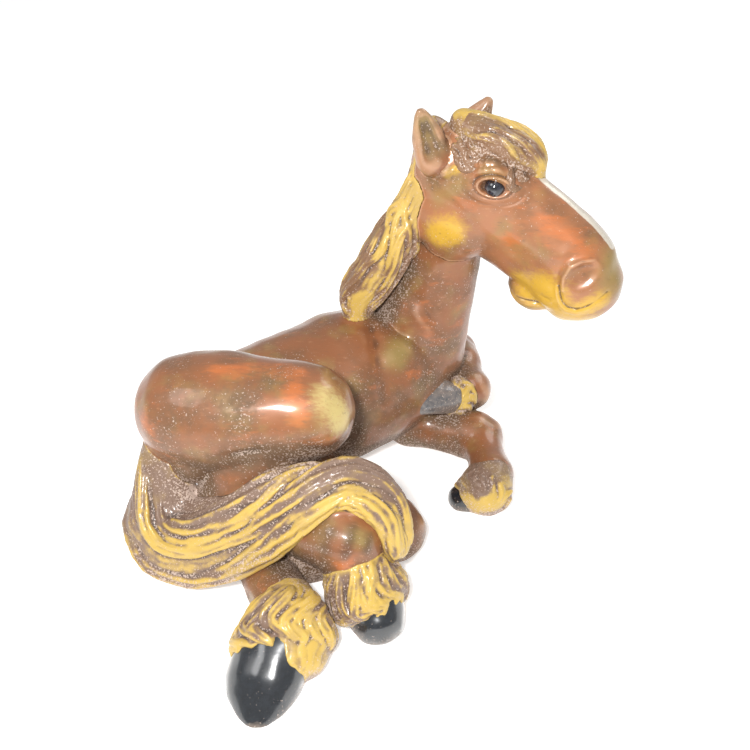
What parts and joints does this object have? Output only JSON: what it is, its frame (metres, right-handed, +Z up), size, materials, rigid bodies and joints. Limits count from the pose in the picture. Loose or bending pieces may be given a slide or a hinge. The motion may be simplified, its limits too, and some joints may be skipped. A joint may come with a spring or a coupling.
{
  "type": "animal figurine",
  "caption": "Cast bronze figure of a resting horse with folded legs, raised neck and turned head, in a coloured patina.",
  "frame": {"origin": "on the ground, under the middle of the figure's box", "axes": "+X from the rump towards the chest, +Z up, the figure's right side and its stacked hind legs face -Y"},
  "size_m": [0.4038, 0.4112, 0.3238],
  "materials": {
    "chestnut_patina": "lacquered chestnut brown patina over cast bronze, glossy, with orange and olive clouds",
    "flaxen_patina": "ochre yellow patina on the hair, brown and dusty in the grooves",
    "blackened_patina": "blue black patina on the hooves, glossy, dusty near the hair",
    "eye_black": "polished black lacquer dome",
    "raw_bronze": "unpolished cast bronze, hidden inside"
  },
  "bodies": {
    "root": {"eye_right": "eye_black", "eye_left": "eye_black", "head": "chestnut_patina", "neck": "chestnut_patina", "barrel": "chestnut_patina", "haunch_right": "chestnut_patina", "tail": "flaxen_patina", "gaskin_right": "chestnut_patina", "hind_cannon_right": "chestnut_patina", "haunch_left": "chestnut_patina", "gaskin_left": "chestnut_patina", "hind_cannon_left": "chestnut_patina", "hind_hoof_right": "blackened_patina", "hind_hoof_left": "blackened_patina", "hind_feather_right": "flaxen_patina", "hind_feather_left": "flaxen_patina", "forearm_right": "chestnut_patina", "fore_cannon_right": "chestnut_patina", "fore_hoof_right": "blackened_patina", "fore_feather_right": "flaxen_patina", "forearm_left": "chestnut_patina", "fore_feather_left": "flaxen_patina", "fore_cannon_left": "chestnut_patina", "fore_hoof_left": "blackened_patina", "mane": "flaxen_patina", "forelock": "flaxen_patina", "ear_right": "chestnut_patina", "ear_left": "chestnut_patina", "neck_backing_ring": "raw_bronze", "head_backing_ring": "raw_bronze"}
  },
  "joints": []
}
